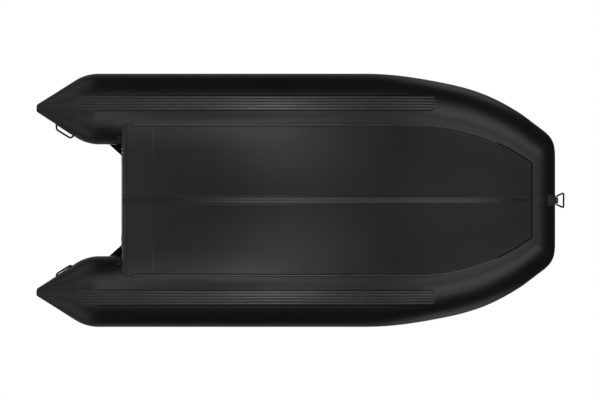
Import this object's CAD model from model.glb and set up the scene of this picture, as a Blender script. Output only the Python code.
# %% [markdown]
# # An inflatable boat, from its CAD solids to its looks
#
# The boat is built from welded PVC fabric: air-filled tubes, a bottom panel, rubber strips that
# take the wear, a plywood transom and a few moulded fittings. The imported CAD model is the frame:
# the pieces below stand for its solids, in metres. Most lie where their solid does. The bow, the
# cones, the stern handles and the tow patch follow the picture where it differs from the solids.

# %% Load the CAD frame
import math

import bpy
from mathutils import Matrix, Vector
from mathutils.geometry import interpolate_bezier


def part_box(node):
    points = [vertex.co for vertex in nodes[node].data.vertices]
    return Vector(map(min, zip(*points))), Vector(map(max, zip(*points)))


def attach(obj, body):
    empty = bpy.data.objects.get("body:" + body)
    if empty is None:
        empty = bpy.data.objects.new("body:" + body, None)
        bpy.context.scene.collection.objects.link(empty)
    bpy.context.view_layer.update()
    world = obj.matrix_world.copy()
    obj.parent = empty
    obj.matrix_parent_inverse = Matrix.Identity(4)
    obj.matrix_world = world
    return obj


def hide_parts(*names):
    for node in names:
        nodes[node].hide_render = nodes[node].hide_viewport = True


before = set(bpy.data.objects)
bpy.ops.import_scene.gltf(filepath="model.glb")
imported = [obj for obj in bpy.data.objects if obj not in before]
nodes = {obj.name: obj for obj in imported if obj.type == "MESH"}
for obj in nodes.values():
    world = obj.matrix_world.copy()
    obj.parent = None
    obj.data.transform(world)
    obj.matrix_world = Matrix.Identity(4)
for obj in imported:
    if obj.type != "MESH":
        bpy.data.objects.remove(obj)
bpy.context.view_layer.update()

# %% [markdown]
# ## Camera
#
# The picture looks straight at the underside, with the stern on the left and the bow on the right.
# A long lens from 40 m below keeps the outline of the tubes and the lines of the bottom panel at
# nearly one scale, as in the picture.

# %% Place the camera below the boat
SIDES = ((1, "port"), (-1, "starboard"))
TUBE_R = 0.225
AXIS_Y, AXIS_Z = 0.580, 0.2308
PIXELS_PER_METRE, PICTURE_W, SENSOR_W = 157.3, 600, 36
CAMERA_DROP, CAMERA_X, CAMERA_Y = 40.0, -0.0064, -0.0019

bpy.ops.object.select_all(action="DESELECT")
bpy.ops.object.camera_add(location=(CAMERA_X, CAMERA_Y, -CAMERA_DROP), rotation=(math.pi, 0, 0))
camera = bpy.context.active_object
camera.name = "camera"
camera.data.sensor_width = SENSOR_W
camera.data.lens = PIXELS_PER_METRE * (CAMERA_DROP + AXIS_Z) * SENSOR_W / PICTURE_W
camera.data.clip_end = 200
bpy.context.scene.camera = camera
bpy.context.scene.view_settings.view_transform = "Standard"
print("lens", round(camera.data.lens, 1), "mm")

# %% [markdown]
# ## Shader maths
#
# A finish is one material. A signal is the output of one of its nodes, and Python's operators on
# signals add Math nodes, so a pattern reads like a formula. Every other node comes from `node`.

# %% Write shaders as formulas
class Signal:
    """The output of a shader node, with operators that add Math nodes."""

    def __init__(self, finish, socket):
        self.finish, self.socket = finish, socket

    def maths(self, operation, first, second):
        return self.finish.node("Math", {"operation": operation}, {0: first, 1: second})

    def __add__(self, other):
        return self.maths("ADD", self, other)

    def __mul__(self, other):
        return self.maths("MULTIPLY", self, other)

    def __rsub__(self, other):
        return self.maths("SUBTRACT", other, self)

    def __gt__(self, other):
        return self.maths("GREATER_THAN", self, other)

    __radd__, __rmul__ = __add__, __mul__


class Finish:
    """One material's node tree, with its Principled shader."""

    def __init__(self, name, tree=None):
        if tree is None:
            self.material = bpy.data.materials.new(name)
            self.material.use_nodes = True
            tree = self.material.node_tree
        self.tree = tree
        self.shader = tree.nodes.get("Principled BSDF")

    def node(self, kind, settings=None, inputs=None, output=0):
        made = self.tree.nodes.new("ShaderNode" + kind)
        for key, value in (settings or {}).items():
            setattr(made, key, value)
        for key, value in (inputs or {}).items():
            self.feed(made.inputs[key], value)
        return Signal(self, made.outputs[output])

    def feed(self, socket, value):
        if isinstance(value, Signal):
            self.tree.links.new(value.socket, socket)
        else:
            socket.default_value = value

    def surface(self, inputs):
        for key, value in inputs.items():
            self.feed(self.shader.inputs[key], value)
        return self.material

    def mix(self, factor, first, second):
        return self.node("Mix", {"data_type": "RGBA"}, {0: factor, 6: first, 7: second}, 2)

    def noise(self, vector, scale, detail=3.0, rough=0.5):
        return self.node("TexNoise", None, {"Vector": vector, "Scale": scale, "Detail": detail,
                                            "Roughness": rough})

    def stretch(self, vector, scale, turn=(0, 0, 0)):
        return self.node("Mapping", None, {"Vector": vector, "Scale": scale, "Rotation": turn})

    def bump(self, height, distance, strength=1.0, over=None):
        inputs = {"Height": height, "Distance": distance, "Strength": strength}
        if over:
            inputs["Normal"] = over
        return self.node("Bump", None, inputs)

    def fade(self, value, low, high):
        """0 at low and 1 at high, with smooth ends."""
        return self.node("MapRange", {"interpolation_type": "SMOOTHSTEP"}, {
            "Value": value, "From Min": low, "From Max": high, "To Min": 0, "To Max": 1})

    def coordinates(self, output="Object"):
        return self.node("TexCoord", None, None, output)


def grey(level):
    return (level, level, level, 1.0)


print("shader helpers ready")

# %% [markdown]
# ## Floor, background and light
#
# The picture is a cut-out on white, taken of the underside. A camera on the floor could not see
# it, so the floor is see-through from below: it is pale only where a camera looks at its upper
# side, where it also takes the boat's shadow. The world is white for the camera alone. What the
# boat reflects is a dark studio with a paler ceiling aft, which gives the tubes their thin rims.

# %% Make the floor and the world
FLOOR_SIZE, FLOOR_Z = 80, -0.002
bpy.ops.object.select_all(action="DESELECT")
bpy.ops.mesh.primitive_plane_add(size=FLOOR_SIZE, location=(0, 0, FLOOR_Z))
floor = bpy.context.active_object
floor.name = "floor"
bpy.ops.object.transform_apply(location=True)

pale = Finish("pale_floor")
from_above = (1 - pale.node("NewGeometry", None, None, "Backfacing")) * pale.node(
    "LightPath", None, None, "Is Camera Ray")
pale.surface({"Base Color": grey(0.80), "Roughness": 0.9})
clear = pale.node("BsdfTransparent")
solid = Signal(pale, pale.shader.outputs[0])
seen = pale.node("MixShader", None, {0: from_above, 1: clear, 2: solid})
pale.feed(pale.tree.nodes["Material Output"].inputs["Surface"], seen)
floor.data.materials.append(pale.material)

CEILING, WALLS, BELOW = 0.18, 0.02, 0.05
world = bpy.data.worlds.new("studio")
bpy.context.scene.world = world
world.use_nodes = True
studio = Finish("studio", world.node_tree)
fore, up = (studio.node("SeparateXYZ", None, {0: studio.coordinates("Generated")}, axis)
            for axis in "XZ")
ceiling = studio.fade(up, 0.55, 0.72) * studio.fade(fore, 0.33, 0.10)
below = studio.fade(up, -0.5, -0.9)
level = WALLS + ceiling * (CEILING - WALLS) + below * (BELOW - WALLS)
camera_ray = studio.node("LightPath", None, None, "Is Camera Ray")
strength = camera_ray + (1 - camera_ray) * level
background = world.node_tree.nodes["Background"]
studio.feed(background.inputs["Color"], grey(1.0))
studio.feed(background.inputs["Strength"], strength)
print("floor", FLOOR_SIZE, "m wide")

# %% Hang the lamps
def soft_lamp(name, place, target, size, brightness):
    """A rectangular lamp. Its power in watts follows from how bright its face looks."""
    bpy.ops.object.select_all(action="DESELECT")
    way = Vector(target) - Vector(place)
    bpy.ops.object.light_add(type="AREA", location=place,
                             rotation=way.to_track_quat("-Z", "Y").to_euler())
    lamp = bpy.context.active_object
    lamp.name = name
    lamp.data.shape = "RECTANGLE"
    lamp.data.size, lamp.data.size_y = size
    lamp.data.energy = brightness * math.pi * size[0] * size[1]
    lamp.visible_camera = False


LAMP_Z, KEY_Z = -2.0, -1.3
INNER_TO, OUTER_TO = 1.5, 2.85
LAMPS = [  # name, place, target, size, brightness
    ("middle_aft", (-3.9, 0, LAMP_Z), (-3.9, 0, 0), (10.2, 0.9), 0.20),
    ("middle_fore", (5.1, 0, LAMP_Z), (5.1, 0, 0), (7.8, 0.9), 0.15),
    ("stern_key", (-1.32, 0, KEY_Z), (-1.32, 0, 0), (0.36, 0.9), 1.00),
    ("bow_key", (1.75, 0, -1.5), (1.45, 0, 0), (0.6, 2.0), 0.50),
    ("stern_wall", (-6.0, 0, -1.2), (0, 0, -1.2), (10.0, 5.0), 0.11),
    ("overhead", (0, 0, 7.0), (0, 0, 0), (2.0, 2.0), 20.7),
    ("stern_overhead", (-4.5, -0.6, 6.0), (0, 0, 0), (1.4, 1.4), 14.6),
]
BANDS = [  # name, from x, to x, inner edge, brightness of the inner and the outer row
    ("aft", -9, 0.15, 0.45, 0.44, 0.60),
    ("mid", 0.15, 1.2, 0.45, 0.29, 0.34),
    ("fore", 1.2, 9, 0.70, 1.00, 0.60),
]
KEYS = [  # name, x, distance from the middle, size, brightness
    ("panel", -0.03, 0.30, (0.36, 0.26), 1.5),
    ("strip", -0.22, 0.77, (0.50, 0.30), 2.8),
]
for side, label in SIDES:
    for part, x0, x1, edge, inner, outer in BANDS:
        for row, y0, y1, level in (("inner", edge, INNER_TO, inner), ("outer", INNER_TO, OUTER_TO, outer)):
            name = "_".join((label, part, row))
            x, y = (x0 + x1) / 2, side * (y0 + y1) / 2
            LAMPS.append((name, (x, y, LAMP_Z), (x, y, 0), (x1 - x0, y1 - y0), level))
    for key, x, off, size, level in KEYS:
        LAMPS.append((label + "_" + key + "_key", (x, off * side, KEY_Z), (x, off * side, 0), size, level))
    LAMPS.append((label + "_corner", (-4.5, 4.5 * side, 0.6), (-1.4, 0.6 * side, 0.2), (5.0, 4.0), 0.36))
    LAMPS.append((label + "_quarter", (2.7, 5.1 * side, 3.6), (0.9, 0.6 * side, 0.3), (3.0, 3.0), 0.30))
for lamp in LAMPS:
    soft_lamp(*lamp)
print(len(LAMPS), "lamps")

# %% [markdown]
# ## Hand tools
#
# Most pieces of an inflatable boat start as flat sheets: a tube is a sheet rolled up and welded, a
# strip is a sheet with ribs. So one tool takes Blender's flat grid and moves its points to where a
# formula puts them, then merges the edges that meet and closes the ends.

# %% Roll sheets and sweep strips
MERGE, SMOOTH = 1e-5, 38


def spaced(start, end, steps):
    """Even values from start to end, both included."""
    return [start + (end - start) * n / steps for n in range(steps + 1)]


def alone(piece):
    bpy.ops.object.select_all(action="DESELECT")
    piece.select_set(True)
    bpy.context.view_layer.objects.active = piece


def close_up(piece, smooth=SMOOTH):
    """Merges doubles, closes the open ends, turns the faces outwards and smooths the shading."""
    alone(piece)
    bpy.ops.object.mode_set(mode="EDIT")
    bpy.ops.mesh.select_all(action="SELECT")
    bpy.ops.mesh.remove_doubles(threshold=MERGE)
    bpy.ops.mesh.dissolve_degenerate(threshold=MERGE)
    bpy.ops.mesh.select_all(action="SELECT")
    bpy.ops.mesh.fill_holes(sides=0)
    bpy.ops.mesh.select_all(action="SELECT")
    bpy.ops.mesh.normals_make_consistent(inside=False)
    bpy.ops.object.mode_set(mode="OBJECT")
    bpy.ops.object.shade_smooth_by_angle(angle=math.radians(smooth))


def rolled_sheet(name, rows, columns, place):
    """A flat grid whose points move to place(row, column)."""
    bpy.ops.object.select_all(action="DESELECT")
    bpy.ops.mesh.primitive_grid_add(x_subdivisions=columns, y_subdivisions=rows, size=2)
    sheet = bpy.context.active_object
    sheet.name = sheet.data.name = name
    for vertex in sheet.data.vertices:
        column = round((vertex.co.x + 1) / 2 * columns)
        row = round((vertex.co.y + 1) / 2 * rows)
        vertex.co = place(row, column)
    return sheet


def sweep(name, stations, section, smooth=SMOOTH, ring=False):
    """Carries a closed section, points (across, out), along stations (origin, across, out)."""
    def place(row, column):
        origin, across, out = stations[row % len(stations)]
        a, b = section[column % len(section)]
        return origin + across * a + out * b
    rows = len(stations) if ring else len(stations) - 1
    piece = rolled_sheet(name, rows, len(section), place)
    close_up(piece, smooth)
    return piece


def hand_in(piece, body, slot, material, *replaced):
    """Says what a finished piece rides on, is made of and stands for."""
    piece.data.materials.clear()
    piece.data.materials.append(material)
    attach(piece, body)
    if replaced:
        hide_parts(*replaced)
    print(piece.name, len(piece.data.polygons), "faces")


# %% [markdown]
# ## Black PVC
#
# The fabric is polyester cloth coated with black PVC. It is satin: nearly black where it turns
# away from the light and grey where it mirrors a lamp. The weave prints through the coating as a
# fine grain, and handling leaves patches that shine a little more or less.

# %% Mix the PVC finishes
def coated_fabric(name, colour, rough, gloss, mottle=0.25, print_through=0.00012,
                  pale=None, coat=0.0, worn=0.0):
    """Pale is a lighter grey and where it shows, coat the extra gloss there, worn a duller stern end."""
    fabric = Finish(name)
    at = fabric.coordinates()
    patches = fabric.noise(at, 3.2, 4.0, 0.55)
    grain = fabric.noise(at, 420.0, 2.0)
    dust = fabric.noise(fabric.stretch(at, (0.6, 1.6, 1.2)), 14.0, 5.0, 0.65)
    shade = fabric.mix(dust, grey(colour * (1 - mottle)), grey(colour * (1 + mottle)))
    dull = rough - 0.07 + patches * 0.14
    x, y, z = (fabric.node("SeparateXYZ", None, {0: at}, axis) for axis in "XYZ")
    if pale:
        lighter, where = pale
        mask = where(fabric.fade, x, fabric.node("Math", {"operation": "ABSOLUTE"}, {0: y}), z)
        shade = fabric.mix(mask, shade, grey(lighter))
        if coat:
            fabric.surface({"Coat Weight": mask * coat, "Coat Roughness": rough - 0.08})
    if worn:
        dull = dull + worn * fabric.fade(x, -0.66, -1.10)
    soft = fabric.bump(fabric.noise(at, 9.0, 2.0), 0.0016, 0.55)
    return fabric.surface({
        "Base Color": shade,
        "Roughness": dull,
        "Specular IOR Level": gloss,
        "Normal": fabric.bump(grain, print_through, 0.5, soft),
    })


def beside_weld(fade, x, off, z):
    """The tube's underside beside the weld of the bottom panel, in the after half of the boat."""
    return fade(off, 0.520, 0.482) * fade(x, -0.10, -0.45) * fade(x, -1.25, -1.08) * fade(z, 0.08, 0.06)


def scuffed(fade, x, off, z):
    """The panel's edge in the after half, and its middle where it is dragged ashore."""
    dragged = fade(x, -0.60, -0.12) * fade(x, 0.62, 0.16) * (0.12 + 0.30 * fade(off, 0.06, 0.28))
    return fade(off, 0.30, 0.475) * fade(x, 0.10, -0.45) + dragged


def along_ribs(fade, x, off, z):
    """The two ribs in the middle of the keel strip, away from its ends."""
    return fade(off, 0.019, 0.015) * fade(x, -0.85, -0.25) * fade(x, 1.36, 1.04)


def towards_bow(fade, x, off, z):
    """The forward part of the bow tube."""
    return fade(x, 0.45, 0.95)


tube_pvc = coated_fabric("tube_pvc", 0.0080, 0.38, 0.62)
bow_pvc = coated_fabric("bow_pvc", 0.0080, 0.38, 0.62, pale=(0.0085, towards_bow), coat=0.42)
side_pvc = coated_fabric("side_pvc", 0.0080, 0.36, 0.62, pale=(0.034, beside_weld))
panel_pvc = coated_fabric("panel_pvc", 0.0090, 0.38, 0.42, pale=(0.032, scuffed))
patch_pvc = coated_fabric("patch_pvc", 0.0240, 0.45, 0.50)
strip_rubber = coated_fabric("strip_rubber", 0.0150, 0.30, 1.0, worn=0.38)
keel_black = coated_fabric("keel_black", 0.0090, 0.36, 0.44, pale=(0.031, along_ribs), coat=1.0)
bow_black = coated_fabric("bow_black", 0.0180, 0.36, 0.58)
seam_pvc = coated_fabric("seam_pvc", 0.1200, 0.50, 0.60)
glue_black = coated_fabric("glue_black", 0.0035, 0.65, 0.12)
print("PVC finishes mixed")

# %% [markdown]
# ## The air tubes
#
# The bow is cut from lengths of tube whose ends are mitred and welded, and the air pressure rounds
# the outside of each bend. Up to the last bend the picture shows one smooth line, so there the
# centreline is a curve of many short lengths. Each length runs from mitre to mitre, and between two
# lengths the outside of the skin swings round the corner, while the inside stays a crease.

# %% Settle the centreline of the bow
STERN_X, CONE_L, BAFFLE_X = -1.68195, 0.3987, 0.41809
BOW_MARKS = [Vector(p) for p in (
    (BAFFLE_X, AXIS_Y, AXIS_Z), (0.85507, 0.5281, 0.2608), (1.08385, 0.4664, 0.3108),
    (1.2841, 0.3615, 0.3708), (1.3980, 0.2770, 0.4178), (1.3980, 0.0, 0.4178))]
CURVE_LENGTHS = (9, 6, 6)
AROUND = 112
BULGE, RING_STEP, ARC_STEP = 0.35, 0.035, 2.5

chords = [(b - a).normalized() for a, b in zip(BOW_MARKS, BOW_MARKS[1:])]
leans = [Vector((1, 0, 0))] + [(a + b).normalized() for a, b in zip(chords, chords[1:4])]
BOW_CORNERS = []
for i, count in enumerate(CURVE_LENGTHS):
    a, b = BOW_MARKS[i], BOW_MARKS[i + 1]
    reach = (b - a).length / 3
    curve = interpolate_bezier(a, a + leans[i] * reach, b - leans[i + 1] * reach, b, count + 1)
    BOW_CORNERS += curve[:-1]
BOW_CORNERS += BOW_MARKS[3:]

ways = [(b - a).normalized() for a, b in zip(BOW_CORNERS, BOW_CORNERS[1:])]
mitres = [leans[0]] + [(a + b).normalized() for a, b in zip(ways, ways[1:])] + [ways[-1]]
turns = [a.rotation_difference(b) for a, b in zip(ways, ways[1:])]
spokes = [[Vector((0, math.cos(t), math.sin(t))) for t in
           (2 * math.pi * k / AROUND for k in range(AROUND))]]
for turn in turns:
    spokes.append([turn @ e for e in spokes[-1]])
print("bow of", len(ways), "lengths, bends", [round(math.degrees(t.angle), 1) for t in turns])

# %% Roll the bow skin
def length_point(i, part, k):
    """A point of length i, at a part of the way between its two mitres, on spoke k."""
    start, end = BOW_CORNERS[i], BOW_CORNERS[i + 1]
    way, e = ways[i], spokes[i][k] * TUBE_R
    full = (end - start).length
    low = max(0.0, -e.dot(mitres[i]) / way.dot(mitres[i]))
    high = min(full, full - e.dot(mitres[i + 1]) / way.dot(mitres[i + 1]))
    return start + e + way * (low + (high - low) * part)


def bend_point(i, part, k):
    """A point of the rounded bend between lengths i and i + 1."""
    corner, turn, e = BOW_CORNERS[i + 1], turns[i], spokes[i][k]
    inward = (ways[i + 1] - ways[i]).normalized()
    side = -e.dot(inward)
    if side <= 0:
        return length_point(i, 1.0, k)
    swung = turn.copy()
    swung.angle = turn.angle * part
    crown = BULGE * (1 / math.cos(turn.angle / 2) - 1) * side ** 2
    return corner + (swung @ e) * TUBE_R * (1 + crown * math.sin(math.pi * part) ** 2)


bow_rings = []
for i, way in enumerate(ways):
    steps = max(1, round((BOW_CORNERS[i + 1] - BOW_CORNERS[i]).length / RING_STEP))
    bow_rings += [(length_point, i, n / steps) for n in range(steps + 1)]
    if i < len(turns):
        arcs = max(2, round(math.degrees(turns[i].angle) / ARC_STEP))
        bow_rings += [(bend_point, i, n / arcs) for n in range(1, arcs)]


def bow_place(row, column):
    """A point of the port half, whose last ring lies in the middle plane."""
    shape, i, part = bow_rings[row]
    point = shape(i, part, column % AROUND)
    if row == len(bow_rings) - 1:
        point.y = 0.0
    return point


bow_skin = rolled_sheet("bow_tube", len(bow_rings) - 1, AROUND, bow_place)
alone(bow_skin)
mirror = bow_skin.modifiers.new("other_half", "MIRROR")
mirror.use_axis = (False, True, False)
mirror.merge_threshold = 1e-4
bpy.ops.object.modifier_apply(modifier=mirror.name)
close_up(bow_skin)
hand_in(bow_skin, "hull", "tube_fabric", bow_pvc,
        "port_bow_tube", "starboard_bow_tube", "bow_cross_tube")

# %% Roll the side tubes and the stern cones
CONE_SLOPE, SHOULDER_R, TIP_R, CONE_LEAN = math.radians(32.8), 0.278, 0.0208, 0.005
CAP_L, UNDER_CAP = 0.040, 0.004
TUBE_RINGS, CONE_RINGS = 30, 44


def cone_radius(s):
    """Radius of the tube at a distance from the cone's tip."""
    if s >= CONE_L:
        return TUBE_R
    if s > CONE_L - SHOULDER_R * math.sin(CONE_SLOPE):
        return TUBE_R - SHOULDER_R + math.sqrt(SHOULDER_R ** 2 - (CONE_L - s) ** 2)
    return TIP_R + s * math.tan(CONE_SLOPE)


def cone_y(s):
    """Distance of the axis from the middle of the boat: a cone leans out a little."""
    return AXIS_Y + CONE_LEAN * max(0.0, 1 - s / CONE_L)


def turned(name, side, profile):
    """A tube round the side axis, from points (distance from the stern, radius)."""
    def place(row, column):
        s, r = profile[row]
        t = 2 * math.pi * column / AROUND
        return Vector((STERN_X + s, side * (cone_y(s) + r * math.cos(t)), AXIS_Z + r * math.sin(t)))
    piece = rolled_sheet(name, len(profile) - 1, AROUND, place)
    close_up(piece)
    return piece


tube_profile = [(s, TUBE_R) for s in spaced(CONE_L, BAFFLE_X - STERN_X, TUBE_RINGS)]
cone_profile = [(s, cone_radius(s)) for s in spaced(CAP_L - UNDER_CAP, CONE_L, CONE_RINGS)]
for side, label in SIDES:
    hand_in(turned(label + "_side_skin", side, tube_profile), "hull", "tube_fabric", side_pvc,
            label + "_side_tube")
    hand_in(turned(label + "_cone_skin", side, cone_profile), "hull", "tube_fabric", tube_pvc,
            label + "_stern_cone")

# %% [markdown]
# ## The cone caps
#
# A moulded cap closes the tip of each cone. It is turned on the same axis: a flat nose, a round
# edge and a lip that laps over the fabric.

# %% Turn the cone caps
NOSE_ROUND, NOSE_STEPS, LAP, LIP_IN = 0.014, 10, 0.0006, 0.0010
nose_turn = math.pi / 2 - CONE_SLOPE
nose_r = TIP_R + LAP - NOSE_ROUND * math.tan(nose_turn / 2)
cap_profile = [(0.0, 0.0), (0.0, nose_r / 2)]
cap_profile += [(NOSE_ROUND * (1 - math.cos(t)), nose_r + NOSE_ROUND * math.sin(t))
                for t in spaced(0.0, nose_turn, NOSE_STEPS)]
cap_profile += [(s, TIP_R + LAP + s * math.tan(CONE_SLOPE)) for s in (0.012, 0.025, CAP_L - 0.002)]
cone_r = TIP_R + CAP_L * math.tan(CONE_SLOPE)
cap_profile += [(CAP_L, cone_r + LAP / 2), (CAP_L + LAP, cone_r - LIP_IN)]
for side, label in SIDES:
    hand_in(turned(label + "_cap", side, cap_profile), "hull", "fitting_plastic", tube_pvc,
            label + "_cone_cap")

# %% [markdown]
# ## The bottom panel
#
# One sheet of fabric is welded under the tubes. The keel pushes its middle down and the bow lifts
# its front. Air pressure and the welds leave slow waves in it, a shallow groove beside the weld and
# small puckers where the sheet was tight, so its points move by a sum of such shapes.

# %% Work out where the underside lies
SLACK = 2e-4
PATH = [Vector((STERN_X, AXIS_Y, AXIS_Z))] + BOW_CORNERS
path_ways = [(b - a).normalized() for a, b in zip(PATH, PATH[1:])]
path_mitres = [path_ways[0]] + [(a + b).normalized() for a, b in zip(path_ways, path_ways[1:])] + [
    path_ways[-1]]


def tube_under(x, y):
    """Height of the tubes' underside over a point of the plan."""
    y = abs(y)
    s = x - STERN_X
    if s < CONE_L:
        return AXIS_Z - math.sqrt(max(0.0, cone_radius(s) ** 2 - (y - cone_y(s)) ** 2))
    lowest = 9.0
    for i, way in enumerate(path_ways):
        qx, qy = x - PATH[i].x, y - PATH[i].y
        along, flat = qx * way.x + qy * way.y, 1 - way.z ** 2
        root = (along * way.z) ** 2 - flat * (qx * qx + qy * qy - along ** 2 - TUBE_R ** 2)
        if root < 0:
            continue
        point = Vector((x, y, PATH[i].z + (along * way.z - math.sqrt(root)) / flat))
        if ((point - PATH[i]).dot(path_mitres[i]) > -SLACK
                and (point - PATH[i + 1]).dot(path_mitres[i + 1]) < SLACK):
            lowest = min(lowest, point.z)
    return lowest


PANEL_X0, PANEL_X1, EDGE_X0, EDGE_Y0, EDGE_Y1 = -1.09165, 1.47105, 0.71809, 0.480, 0.242
KEEL_X0, KEEL_Z0, PANEL_T, KEEL_HALF = 0.51809, 0.0078, 0.003, 0.045
EDGE_R = ((PANEL_X1 - EDGE_X0) ** 2 + (EDGE_Y0 - EDGE_Y1) ** 2) / (2 * (EDGE_Y0 - EDGE_Y1))
WELD_GAP = 0.0009
EDGE_GAP = WELD_GAP + PANEL_T
keel_rise = tube_under(PANEL_X1, 0) - EDGE_GAP - KEEL_Z0
KEEL_R = ((PANEL_X1 - KEEL_X0) ** 2 + keel_rise ** 2) / (2 * keel_rise)


def edge_y(x):
    """Half the panel's width: straight aft, an arc at the bow."""
    return EDGE_Y0 if x <= EDGE_X0 else EDGE_Y0 - EDGE_R + math.sqrt(EDGE_R ** 2 - (x - EDGE_X0) ** 2)


def keel_z(x):
    """Height of the panel's middle: level aft, an arc that rises at the bow."""
    return KEEL_Z0 if x <= KEEL_X0 else KEEL_Z0 + KEEL_R - math.sqrt(KEEL_R ** 2 - (x - KEEL_X0) ** 2)


def hump(value, centre, half):
    """A smooth hump of height 1 that ends at half each side of its centre."""
    t = abs(value - centre) / half
    return (1 - t * t) ** 2 if t < 1 else 0.0


BILLOW = 0.006
CALM_EDGE, CALM_KEEL = 0.16, 0.08
WAVES = [  # height, waves along and across in radians a metre, start
    (0.0022, 2.3, 0.0, 0.6), (0.0012, 4.9, 5.0, 0.0), (0.0008, 3.0, 9.0, 0.0)]
GROOVE_DEEP, GROOVE_IN, GROOVE_HALF = 0.0010, 0.0145, 0.007
PUCKER_HIGH, PUCKER_IN, PUCKER_HALF = 0.0028, 0.026, 0.016
PUCKERS = [  # x, side, half length
    (-0.955, 1, 0.07), (-0.862, 1, 0.05), (-0.862, -1, 0.05), (0.285, 1, 0.09),
    (0.33, 1, 0.05), (-0.70, -1, 0.06)]
DOUBLED_X, DOUBLED_T = -0.939, 0.0010


def panel_z(x, y):
    """Height of the panel's underside, which is doubled at its after end."""
    edge = edge_y(x)
    rim = tube_under(x, edge) - EDGE_GAP
    t = max(0.0, (abs(y) - KEEL_HALF) / (edge - KEEL_HALF))
    z = min(keel_z(x) + (rim - keel_z(x)) * t, tube_under(x, y) - EDGE_GAP)
    side = math.copysign(1, y)
    inset = edge - abs(y)
    free = min(1.0, max(0.0, inset) / CALM_EDGE) * min(1.0, max(0.0, abs(y) - KEEL_HALF) / CALM_KEEL)
    z -= BILLOW * 4 * t * (1 - t) if t < 1 else 0.0
    z += free * sum(high * math.sin(along * x + across * y + start) for high, along, across, start in WAVES)
    z += GROOVE_DEEP * hump(inset, GROOVE_IN, GROOVE_HALF)
    for pucker_x, pucker_side, half in PUCKERS:
        if side == pucker_side:
            z -= PUCKER_HIGH * hump(x, pucker_x, half) * hump(inset, PUCKER_IN, PUCKER_HALF)
    return z - DOUBLED_T if x < DOUBLED_X else z


print("keel radius", round(KEEL_R, 3), "edge radius", round(EDGE_R, 3))

# %% Lay the bottom panel
PANEL_RINGS, MIDDLE = 170, 24
NEAR_EDGE = [0, 0.003, 0.0065, 0.009, 0.011, 0.013, 0.0155, 0.018, 0.0215, 0.027, 0.033, 0.041, 0.052]
panel_x = sorted(spaced(PANEL_X0, PANEL_X1, PANEL_RINGS) + [DOUBLED_X - 0.0015, DOUBLED_X + 0.0005])


def panel_columns(edge):
    """Values of y across the panel, closer together near its edges."""
    inner = edge - NEAR_EDGE[-1]
    half = [edge - d for d in NEAR_EDGE] + [inner * (1 - n / MIDDLE) for n in range(1, MIDDLE)]
    return [-y for y in half] + [0.0] + half[::-1]


panel_grid = [[Vector((x, y, panel_z(x, y))) for y in panel_columns(edge_y(x))] for x in panel_x]
panel = rolled_sheet("bottom_sheet", len(panel_x) - 1, len(panel_grid[0]) - 1,
                     lambda row, column: panel_grid[row][column])
alone(panel)
if panel.data.polygons[0].normal.z > 0:
    panel.data.flip_normals()
wall = panel.modifiers.new("thickness", "SOLIDIFY")
wall.thickness, wall.offset = PANEL_T, -1
bpy.ops.object.modifier_apply(modifier=wall.name)
bpy.ops.object.shade_smooth_by_angle(angle=math.radians(SMOOTH))
hand_in(panel, "hull", "bottom_fabric", panel_pvc, "bottom_panel")

# %% [markdown]
# ## The welded edge
#
# Along the panel's edge a welded tape shows as a thin lighter line, which is narrowest ahead of the
# middle. Just inside it the glue has left a dark line, which stops there and comes back at the front
# of the boat, where the light one has ended. All are thin flat tapes carried along the edge.

# %% Run the tapes along the panel's edge
NUDGE = 0.004


def flat_section(width, thick):
    """A thin tape with eased edges, lying on its glued side."""
    half, ease = width / 2, min(width / 6, 0.0008)
    return [(-half, 0), (-half, thick * 0.6), (-half + ease, thick), (half - ease, thick),
            (half, thick * 0.6), (half, 0)]


def edge_stations(side, inset, x0, x1, steps, thin):
    """Stations on the panel at a distance inside its edge. thin(x) gives a tape's part of its width."""
    stations = []
    for x in spaced(x0, x1, steps):
        slope = (edge_y(x + NUDGE) - edge_y(x - NUDGE)) / (2 * NUDGE)
        across = Vector((-slope, 1, 0)).normalized()
        point = Vector((x, edge_y(x), 0)) - across * inset
        z = panel_z(point.x, point.y)
        rise = (panel_z(point.x, point.y + NUDGE) - z) / NUDGE
        across = (across + Vector((0, 0, rise * across.y))).normalized()
        out = Vector((0, rise, -1)).normalized()
        flip = Vector((1, side, 1))
        stations.append((Vector((point.x, point.y, z)) * flip, across * thin(x) * flip, out * flip))
    return stations


def seam_thin(x):
    """Narrows just ahead of the middle and widens again towards the bow."""
    narrowing = 1 - max(0.0, x - 0.22) / 0.15
    widening = min(0.85, (x - 0.30) * 1.6)
    return max(0.55, narrowing, widening)


GLUE_END, GLUE_TAPER = 0.36, 0.15


def glue_thin(x):
    """Tapers to a point at the forward end of the after glue line."""
    return max(0.05, min(1.0, (GLUE_END - x) / GLUE_TAPER))


def full_width(x):
    return 1.0


TAPES = [  # name, inset, from x, to x, steps, part of the width, width, thickness, slot, finish
    ("seam_tape", 0.0026, PANEL_X0 + 0.03, 1.24, 130, seam_thin, 0.0050, 0.0010, "tube_fabric", seam_pvc),
    ("glue_line", 0.0102, PANEL_X0 + 0.02, GLUE_END, 90, glue_thin, 0.0038, 0.0007, "bottom_fabric",
     glue_black),
    ("bow_glue_line", 0.0066, 1.25, PANEL_X1 - 0.004, 40, full_width, 0.0060, 0.0007, "bottom_fabric",
     glue_black),
]
for side, label in SIDES:
    for name, inset, x0, x1, steps, thin, width, thick, slot, finish in TAPES:
        stations = edge_stations(side, inset, x0, x1, steps, thin)
        hand_in(sweep(label + "_" + name, stations, flat_section(width, thick)), "hull", slot, finish)

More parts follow.
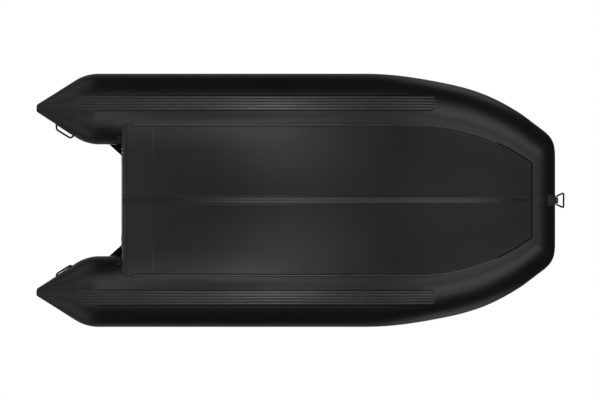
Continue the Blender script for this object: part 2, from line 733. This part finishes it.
FRONT_X, FRONT_COS, FRONT_SIN = PANEL_X1 - 0.0045, 0.966, 0.26
front_line = [(Vector((FRONT_X, y, panel_z(FRONT_X, y))), Vector((FRONT_COS, 0, FRONT_SIN)),
               Vector((FRONT_SIN, 0, -FRONT_COS))) for y in spaced(-EDGE_Y1, EDGE_Y1, 40)]
front = sweep("front_glue_line", front_line, flat_section(width=0.0085, thick=0.0010))
hand_in(front, "hull", "bottom_fabric", glue_black)

# %% [markdown]
# ## The hem at the transom
#
# The aft end of the panel is turned onto the sill and held by a flat hem, which also closes the
# joint so that no light comes through.

# %% Lay the hem
HEM_X, HEM_W, HEM_T, HEM_GAP = -1.0905, 0.022, 0.0009, 0.0002
hem_lines = [(Vector((HEM_X, y, panel_z(PANEL_X0 + 0.002, y) - HEM_GAP)), Vector((1, 0, 0)),
              Vector((0, 0, -1))) for y in spaced(-EDGE_Y0, EDGE_Y0, 60)]
hem = sweep("transom_hem", hem_lines, flat_section(HEM_W, HEM_T))
hand_in(hem, "hull", "bottom_fabric", panel_pvc)

# %% [markdown]
# ## The wear strips
#
# Extruded rubber strips with rounded ribs take the wear under the keel and under each tube. Their
# section is one closed outline that is carried along the boat: flat where it is glued on, ribbed
# where it shows.

# %% Draw the ribbed sections
RIB_FOOT, RIB_FULL = 1.24, 2.6


def ribbed(width, ribs, pitch, rib, base=0.0014, edge=0.0012):
    """A strip's outline, points (across, out), with rounded ribs of a width and a height."""
    marks = {-width / 2, -width / 2 + edge / 3, -width / 2 + edge, width / 2 - edge,
             width / 2 - edge / 3, width / 2}
    centres = [(n - (ribs - 1) / 2) * pitch for n in range(ribs)]
    shape = (-0.62, -0.5, -0.42, -0.30, -0.12, 0.12, 0.30, 0.42, 0.5, 0.62)
    for c in centres:
        marks |= {c + rib[0] * t for t in shape}

    def out(a):
        b = base * min(1.0, ((width / 2 - abs(a)) / edge + 0.25))
        for c in centres:
            t = abs(a - c) / (rib[0] / 2)
            if t < RIB_FOOT:
                b += rib[1] * math.sqrt(max(0.0, 1 - (t / RIB_FOOT) ** RIB_FULL))
        return b
    return [(a, out(a)) for a in sorted(marks)] + [(width / 2, 0.0), (-width / 2, 0.0)]


GLUE_GAP = 0.0003
keel_outline = ribbed(width=0.062, ribs=2, pitch=0.020, rib=(0.0105, 0.0041))
chafe_outline = ribbed(width=0.0955, ribs=5, pitch=0.0190, rib=(0.0142, 0.0041))
print("keel outline", len(keel_outline), "points, chafe outline", len(chafe_outline))

# %% Lay the keel and bow strips
KEEL_FROM, KEEL_SHORT = -1.12995, 0.0085
ACROSS = Vector((0, 1, 0))
keel_stations = []
for x in spaced(KEEL_FROM, PANEL_X1 - KEEL_SHORT, 140):
    slope = (keel_z(x + NUDGE) - keel_z(x - NUDGE)) / (2 * NUDGE)
    out = Vector((slope, 0, -1)).normalized()
    keel_stations.append((Vector((x, 0, keel_z(x))) + out * GLUE_GAP, ACROSS, out))
keel = sweep("keel_rubber", keel_stations, keel_outline)
hand_in(keel, "hull", "strip_rubber", keel_black, "keel_strip")

low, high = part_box("bow_strip")
bow_axis = BOW_CORNERS[-1]
bow_from = math.asin((low[0] - bow_axis.x) / TUBE_R)
bow_to = math.acos(max(-1.0, min(1.0, (bow_axis.z - high[2]) / TUBE_R)))
bow_stations = []
for t in spaced(bow_from, bow_to, 32):
    out = Vector((math.sin(t), 0, -math.cos(t)))
    bow_stations.append((bow_axis + out * (TUBE_R + GLUE_GAP), ACROSS, out))
bow_outline = ribbed(width=high[1] - low[1], ribs=2, pitch=0.020, rib=(0.0105, 0.0010))
bow_rubber = sweep("bow_rubber", bow_stations, bow_outline)
hand_in(bow_rubber, "hull", "strip_rubber", bow_black, "bow_strip")

# %% Lay the chafe strips
CHAFE_FROM, CHAFE_TO, CHAFE_OUT = 0.275, 2.530, 0.0368
END_ROUND, END_HALF, END_T = 0.030, 0.0460, 0.00035
JOINT, JOINT_HALF, JOINT_T = 2.100, 0.0025, 0.0012
NEAR_END = (0.001, 0.003, 0.006, 0.010)
chafe_s = sorted(spaced(CHAFE_FROM, CHAFE_TO, 150)
                 + [CHAFE_FROM + d for d in NEAR_END] + [CHAFE_TO - d for d in NEAR_END]
                 + [JOINT + d for d in (-0.0035, -0.002, 0.002, 0.0035)])


def skin_normal(x, y):
    """Which way the tubes' underside faces over a point of the plan."""
    d = 0.002
    zx = (tube_under(x + d, y) - tube_under(x - d, y)) / (2 * d)
    zy = (tube_under(x, y + d) - tube_under(x, y - d)) / (2 * d)
    return Vector((zx, zy, -1)).normalized()


def under_tube(s, a, b):
    """A point at a distance from the stern, across and out from the middle of a chafe strip."""
    x, y = STERN_X + s, AXIS_Y + TUBE_R * math.sin(math.asin(CHAFE_OUT / TUBE_R) + a / TUBE_R)
    return Vector((x, y, tube_under(x, y))) + skin_normal(x, y) * b


def chafe_point(s, a, b):
    """A point of a chafe strip, which has round ends and a joint between its two lengths."""
    to_end = min(s - CHAFE_FROM, CHAFE_TO - s)
    if to_end < END_ROUND:
        room = END_HALF - END_ROUND + END_ROUND * math.sqrt(max(0.0, 1 - (1 - to_end / END_ROUND) ** 2))
        if abs(a) > room:
            a, b = math.copysign(room, a), min(b, END_T)
    if abs(s - JOINT) < JOINT_HALF:
        b = min(b, JOINT_T)
    return under_tube(s, a, b + GLUE_GAP)


def lay_pair(ending, grid, finish, node=None):
    """A strip on each side from the points of the port one."""
    columns = len(grid[0])
    for side, label in SIDES:
        flip = Vector((1, side, 1))
        strip = rolled_sheet(label + ending, len(grid) - 1, columns,
                             lambda row, column: grid[row][column % columns] * flip)
        close_up(strip)
        replaced = [label + node] if node else []
        hand_in(strip, "hull", "strip_rubber", finish, *replaced)


lay_pair("_chafe_rubber", [[chafe_point(s, a, b) for a, b in chafe_outline] for s in chafe_s],
         strip_rubber, "_chafe_strip")

# %% Lay the black glue bed of the chafe strips
bed_outline = flat_section(width=0.103, thick=0.0006)
bed_s = spaced(CHAFE_FROM + 0.12, CHAFE_TO - 0.01, 90)
lay_pair("_chafe_bed", [[under_tube(s, a, b) for a, b in bed_outline] for s in bed_s], glue_black)

# %% [markdown]
# ## More finishes
#
# The fittings are moulded in black plastic with a fine matt grain. The transom and the seats are
# painted plywood: the grain shows faintly through the paint and the plies as lines on the edges.
# The deck is drop-stitch fabric with a non-skid print on its upper side.

# %% Mix the finishes of the fittings, wood and deck
PLY_T = 0.003


def moulded(name, colour, rough, gloss, grain=900.0):
    """Moulded plastic with a fine matt grain, a little polished where it is handled."""
    plastic = Finish(name)
    at = plastic.coordinates()
    wear = plastic.noise(at, 26.0, 4.0, 0.6)
    skin = plastic.bump(plastic.noise(at, grain, 2.0), 0.00010, 0.6)
    return plastic.surface({
        "Base Color": plastic.mix(wear, grey(colour * 0.8), grey(colour * 1.25)),
        "Roughness": rough - 0.06 + wear * 0.12,
        "Specular IOR Level": gloss,
        "Normal": skin,
    })


def painted_ply(name, colour, rough, gloss):
    """Paint on plywood whose grain runs across the boat."""
    wood = Finish(name)
    at = wood.coordinates()
    grain = wood.noise(wood.stretch(at, (60.0, 2.0, 60.0)), 1.6, 5.0, 0.6)
    height = wood.node("SeparateXYZ", None, {0: at}, "Z")
    plies = wood.node("Math", {"operation": "SINE"}, {0: height * (2 * math.pi / PLY_T)})
    scuffs = wood.noise(at, 34.0, 5.0, 0.7)
    return wood.surface({
        "Base Color": wood.mix(scuffs, grey(colour * 0.75), grey(colour * 1.3)),
        "Roughness": rough - 0.08 + grain * 0.16,
        "Specular IOR Level": gloss,
        "Normal": wood.bump(grain * 0.7 + plies * 0.3, 0.00035, 0.5),
    })


def drop_stitch(name, colour, top):
    """Deck fabric: a diamond non-skid print above, plain coated fabric on the sides."""
    deck = Finish(name)
    at = deck.coordinates()
    parts = deck.stretch(at, (1, 1, 1), (0, 0, math.radians(45)))
    across = deck.node("TexWave", {"bands_direction": "X"}, {"Vector": parts, "Scale": 30.0})
    along = deck.node("TexWave", {"bands_direction": "Y"}, {"Vector": parts, "Scale": 30.0})
    above = deck.node("SeparateXYZ", None, {0: at}, "Z") > top
    studs = across * along * above
    dust = deck.noise(at, 7.0, 5.0, 0.6)
    shade = deck.mix(dust, grey(colour * 0.8), grey(colour * 1.2))
    return deck.surface({
        "Base Color": deck.mix(above, grey(colour * 0.35), shade),
        "Roughness": 0.62 - studs * 0.12,
        "Specular IOR Level": 0.4,
        "Normal": deck.bump(studs, 0.0006, 0.8, deck.bump(deck.noise(at, 500.0, 2.0), 0.0001, 0.5)),
    })


fitting_black = moulded("fitting_black", 0.012, 0.52, 0.30)
bar_black = moulded("bar_black", 0.004, 0.62, 0.10, 1400.0)
rowlock_grey = moulded("rowlock_grey", 0.11, 0.48, 0.45)
transom_paint = painted_ply("transom_paint", 0.008, 0.62, 0.06)
seat_paint = painted_ply("seat_paint", 0.15, 0.42, 0.45)
deck_grey = drop_stitch("deck_grey", 0.060, 0.1265)
sill_rubber = coated_fabric("sill_rubber", 0.018, 0.40, 0.48)
webbing = coated_fabric("webbing", 0.065, 0.55, 0.45, 0.3, 0.0003)
print("finishes of the fittings mixed")

# %% [markdown]
# ## Round bars and glued patches
#
# The handles and the tow ring are round bars with bent corners. Each handle stands on a patch that
# is glued to a tube, so a patch is a thin sheet with round corners that follows the tube's curve. In
# the picture both stern handles stand a little further to port than symmetry would put them.

# %% Bend bars and cut patches
def rounded_path(corners, radius, ring=False, steps=7):
    """Points along straight runs whose corners are rounded by short curves."""
    corners = [Vector(c) for c in corners]
    points = []
    for i, corner in enumerate(corners):
        if not ring and i in (0, len(corners) - 1):
            points.append(corner)
            continue
        before, after = corners[i - 1] - corner, corners[(i + 1) % len(corners)] - corner
        start = corner + before.normalized() * min(radius, before.length * 0.45)
        end = corner + after.normalized() * min(radius, after.length * 0.45)
        for t in (n / steps for n in range(steps + 1)):
            points.append(start * (1 - t) ** 2 + corner * 2 * t * (1 - t) + end * t * t)
    return points


def bar(name, points, radius, flat, ring=False, sides=20):
    """A round bar along points in a plane whose normal is flat."""
    section = [(radius * math.cos(t), radius * math.sin(t)) for t in
               (2 * math.pi * k / sides for k in range(sides))]
    stations = []
    last = len(points) - 1
    for i, point in enumerate(points):
        ahead = points[(i + 1) % len(points)] if ring else points[min(i + 1, last)]
        behind = points[i - 1] if ring else points[max(i - 1, 0)]
        stations.append((point, flat.cross(ahead - behind).normalized(), flat))
    return sweep(name, stations, section, smooth=50, ring=ring)


def patch(name, surface, half_u, half_v, corner, thick):
    """A thin patch with round corners. surface(u, v, out) places its points."""
    lines = [half_v * math.sin(t) for t in spaced(-math.pi / 2, math.pi / 2, 24)]
    fan = [math.sin(t) for t in spaced(-math.pi / 2, math.pi / 2, 16)]
    outline = [(f, thick * (1 - abs(f) ** 10) ** 0.5) for f in fan] + [(f, 0.0) for f in fan[-2:0:-1]]

    def place(row, column):
        v = lines[row]
        past = max(0.0, abs(v) - half_v + corner)
        reach = half_u - corner + math.sqrt(max(0.0, corner ** 2 - past ** 2))
        f, out = outline[column % len(outline)]
        return surface(f * reach, v, out * (1 - abs(v / half_v) ** 16) ** 0.5)
    piece = rolled_sheet(name, len(lines) - 1, len(outline), place)
    close_up(piece)
    return piece


def joined(name, *pieces):
    """One piece from several that are fixed to each other."""
    bpy.ops.object.select_all(action="DESELECT")
    for piece in pieces:
        piece.select_set(True)
    bpy.context.view_layer.objects.active = pieces[0]
    bpy.ops.object.join()
    pieces[0].name = pieces[0].data.name = name
    return pieces[0]


print("bar and patch tools ready")

# %% Fit the carrying handles
# The corners of a stern handle are (x, distance from the middle), of the bow one (y, over the tube).
GRIP = [(-1.5555, 0.488), (-1.5536, 0.456), (-1.4634, 0.4008), (-1.4398, 0.424)]
GRIP_SHIFT = {"port": 0.0110, "starboard": -0.0070}
GRIP_R, GRIP_BEND, PAD_S = 0.0060, 0.014, 0.175
BOW_GRIP = [(-0.075, -0.003), (-0.075, 0.034), (0.075, 0.034), (0.075, -0.003)]
BOW_GRIP_R, BOW_GRIP_BEND = 0.005, 0.016

for side, label in SIDES:
    corners = [(x, side * (GRIP_SHIFT[label] + off), AXIS_Z) for x, off in GRIP]
    grip = bar(label + "_grip", rounded_path(corners, GRIP_BEND), GRIP_R, Vector((0, 0, 1)))

    def on_cone(u, v, out, side=side):
        s = PAD_S + u
        r, turn = cone_radius(s) + GLUE_GAP + out, v / cone_radius(PAD_S)
        return Vector((STERN_X + s, side * (cone_y(s) - r * math.cos(turn)), AXIS_Z + r * math.sin(turn)))
    pad = patch(label + "_pad", on_cone, half_u=0.055, half_v=0.017, corner=0.012, thick=0.0016)
    hand_in(joined(label + "_stern_grip", grip, pad), "hull", "fitting_plastic", bar_black,
            label + "_stern_handle")


def on_cross_tube(turn, y, out):
    """A point over the skin of the bow's cross tube, some radians up from its front."""
    reach = TUBE_R + GLUE_GAP + out
    return bow_axis + Vector((reach * math.cos(turn), y, reach * math.sin(turn)))


corners = [(bow_axis.x, y, bow_axis.z + TUBE_R + over) for y, over in BOW_GRIP]
grip = bar("bow_bar", rounded_path(corners, BOW_GRIP_BEND), BOW_GRIP_R, Vector((1, 0, 0)))
pad = patch("bow_pad", lambda u, v, out: on_cross_tube(math.pi / 2 - u / TUBE_R, v, out),
            half_u=0.017, half_v=0.095, corner=0.014, thick=0.003)
hand_in(joined("bow_grip", grip, pad), "hull", "fitting_plastic", fitting_black, "bow_handle")

# %% [markdown]
# ## The tow ring
#
# A wide ring of coated bar sits in a loop of webbing, which a patch holds on the front of the bow.
# The loop is a flat strap that goes round the ring's bar and back under the patch. The patch reaches
# further down the bow than up.

# %% Fit the tow ring
EYE = Vector((1.633, 0, bow_axis.z))
RING = [(EYE.x, -0.028), (1.677, -0.047), (1.677, 0.047), (EYE.x, 0.028)]
RING_R, RING_BEND = 0.0056, 0.010
STRAP_W, STRAP_T, STRAP_R, STRAP_EASE, STRAP_BACK = 0.035, 0.0036, 0.0082, 0.0012, 1.611
PATCH_DROP = 0.058

ring_path = rounded_path([(x, y, EYE.z) for x, y in RING], RING_BEND, True)
ring = bar("ring_bar", ring_path, RING_R, Vector((0, 0, 1)), True)
hand_in(ring, "tow_ring", "ring_steel", bar_black, "tow_ring")

strap = []
for angle in range(90, -91, -12):
    out = Vector((math.cos(math.radians(angle)), 0, math.sin(math.radians(angle))))
    strap.append((EYE + out * STRAP_R, ACROSS, out))
(top, _, up), (under, _, down) = strap[0], strap[-1]
strap.insert(0, (Vector((STRAP_BACK, 0, top.z)), ACROSS, up))
strap.append((Vector((STRAP_BACK, 0, under.z)), ACROSS, down))
h, w, flat_w = STRAP_T / 2, STRAP_W / 2, STRAP_W / 2 - STRAP_EASE
strap_section = [(-w, -h / 2), (-w, h / 2), (-flat_w, h), (flat_w, h), (w, h / 2), (w, -h / 2),
                 (flat_w, -h), (-flat_w, -h)]
loop = sweep("strap", strap, strap_section)
plate = patch("front_patch", lambda u, v, out: on_cross_tube((v - PATCH_DROP) / TUBE_R, u, out),
              half_u=0.036, half_v=0.100, corner=0.020, thick=0.003)
hand_in(joined("tow_loop", plate, loop), "hull", "reinforcement", webbing, "tow_patch")

# %% [markdown]
# ## The valves
#
# Each air chamber has a moulded valve: a flange welded to the fabric and a screw cap with grip
# notches round its rim. It is turned on its own axis, so one profile makes all four.

# %% Turn the valves
VALVE = [  # height over the fabric, radius
    (-0.0042, 0.0), (-0.0042, 0.0400), (0.0046, 0.0400), (0.0062, 0.0391), (0.0070, 0.0372),
    (0.0070, 0.0285), (0.0064, 0.0278), (0.0066, 0.0272), (0.0104, 0.0272), (0.0116, 0.0264),
    (0.0120, 0.0248), (0.0117, 0.0222), (0.0100, 0.0205), (0.0098, 0.0120), (0.0102, 0.0108),
    (0.0114, 0.0100), (0.0116, 0.0085), (0.0116, 0.0)]
NOTCHES, NOTCH_DEEP, VALVE_SIDES = 14, 0.0016, 112
VALVE_X, DECK_VALVE = -0.2718, (0.7681, 0, 0.128)
VALVE_TILT = math.radians(62)
DECK_GAP = 0.0004


def fit_valve(node, foot, axis, sunk=True):
    """A valve on a foot. On a round tube its flange is sunk, on the flat deck it is not."""
    axis = Vector(axis)
    east = Vector((1, 0, 0)) if abs(axis.x) < 0.5 else Vector((0, 1, 0))
    north = axis.cross(east)

    def place(row, column):
        h, r = VALVE[row]
        h = h if sunk else max(DECK_GAP, h)
        turn = 2 * math.pi * column / VALVE_SIDES
        if 0.0065 < h and 0.024 < r < 0.0275:
            r -= NOTCH_DEEP * max(0.0, math.cos(NOTCHES * turn)) ** 3
        return Vector(foot) + axis * h + (east * math.cos(turn) + north * math.sin(turn)) * r
    piece = rolled_sheet(node + "_body", len(VALVE) - 1, VALVE_SIDES, place)
    close_up(piece)
    hand_in(piece, "hull", "fitting_plastic", fitting_black, node)


inward, upward = math.sin(VALVE_TILT), math.cos(VALVE_TILT)
for side, label in SIDES:
    axis = Vector((0, -side * inward, upward))
    fit_valve(label + "_valve", Vector((VALVE_X, side * AXIS_Y, AXIS_Z)) + axis * TUBE_R, axis)
axis = Vector((-inward, 0, upward))
fit_valve("bow_valve", bow_axis + axis * TUBE_R, axis)
fit_valve("deck_valve", DECK_VALVE, (0, 0, 1), sunk=False)

# %% [markdown]
# ## The deck, the wood and the moulded fittings
#
# These keep the shape of their CAD solids. A copy of each solid's mesh has its loose triangles
# merged and its flat faces joined, then a bevel rounds the edges as paint, moulding or air pressure
# would.

# %% Round the edges of copies of the solids
LOOSE, FLAT_ANGLE, EDGE_ANGLE = 2e-5, math.radians(1.5), math.radians(40)


def softened(node, name, width, segments):
    """A copy of a solid's mesh with a bevel along its edges."""
    bpy.ops.object.select_all(action="DESELECT")
    piece = bpy.data.objects.new(name, nodes[node].data.copy())
    piece.data.name = name
    bpy.context.scene.collection.objects.link(piece)
    alone(piece)
    bpy.ops.object.mode_set(mode="EDIT")
    bpy.ops.mesh.select_all(action="SELECT")
    bpy.ops.mesh.remove_doubles(threshold=LOOSE)
    bpy.ops.mesh.dissolve_limited(angle_limit=FLAT_ANGLE)
    bpy.ops.object.mode_set(mode="OBJECT")
    bevel = piece.modifiers.new("edges", "BEVEL")
    bevel.width, bevel.segments = width, segments
    bevel.limit_method, bevel.angle_limit = "ANGLE", EDGE_ANGLE
    bpy.ops.object.modifier_apply(modifier=bevel.name)
    bpy.ops.object.shade_smooth_by_angle(angle=EDGE_ANGLE)
    return piece


SOFT = [  # node, piece, bevel, its segments, body, slot, finish
    ("air_deck", "deck_mat", 0.022, 5, "hull", "deck_fabric", deck_grey),
    ("transom_board", "transom_ply", 0.003, 3, "hull", "transom_ply", transom_paint),
    ("transom_sill", "sill_channel", 0.0008, 2, "hull", "strip_rubber", sill_rubber),
    ("drain_plug", "drain_cap", 0.0015, 2, "hull", "fitting_plastic", fitting_black),
]
SEAT = [
    ("_seat_board", "_bench", 0.004, 4, "_seat", "seat_ply", seat_paint),
    ("_seat_channels", "_runners", 0.0008, 2, "_seat", "fitting_plastic", fitting_black),
]
SIDE = [
    ("_transom_gusset", "_flap", 0.0012, 2, "hull", "reinforcement", glue_black),
    ("_transom_holder", "_lug", 0.0008, 2, "hull", "reinforcement", tube_pvc),
    ("_seat_rails", "_rail", 0.0008, 2, "hull", "reinforcement", patch_pvc),
    ("_rowlock_base", "_socket", 0.0015, 3, "hull", "fitting_plastic", fitting_black),
    ("_rowlock", "_fork", 0.0006, 2, "_rowlock", "rowlock_plastic", rowlock_grey),
]
for labels, rows in ((("rear", "front"), SEAT), (("port", "starboard"), SIDE)):
    for label in labels:
        for node, piece, width, segments, body, slot, finish in rows:
            body = label + body if body != "hull" else body
            SOFT.append((label + node, label + piece, width, segments, body, slot, finish))
for node, piece, width, segments, body, slot, finish in SOFT:
    hand_in(softened(node, piece, width, segments), body, slot, finish, node)
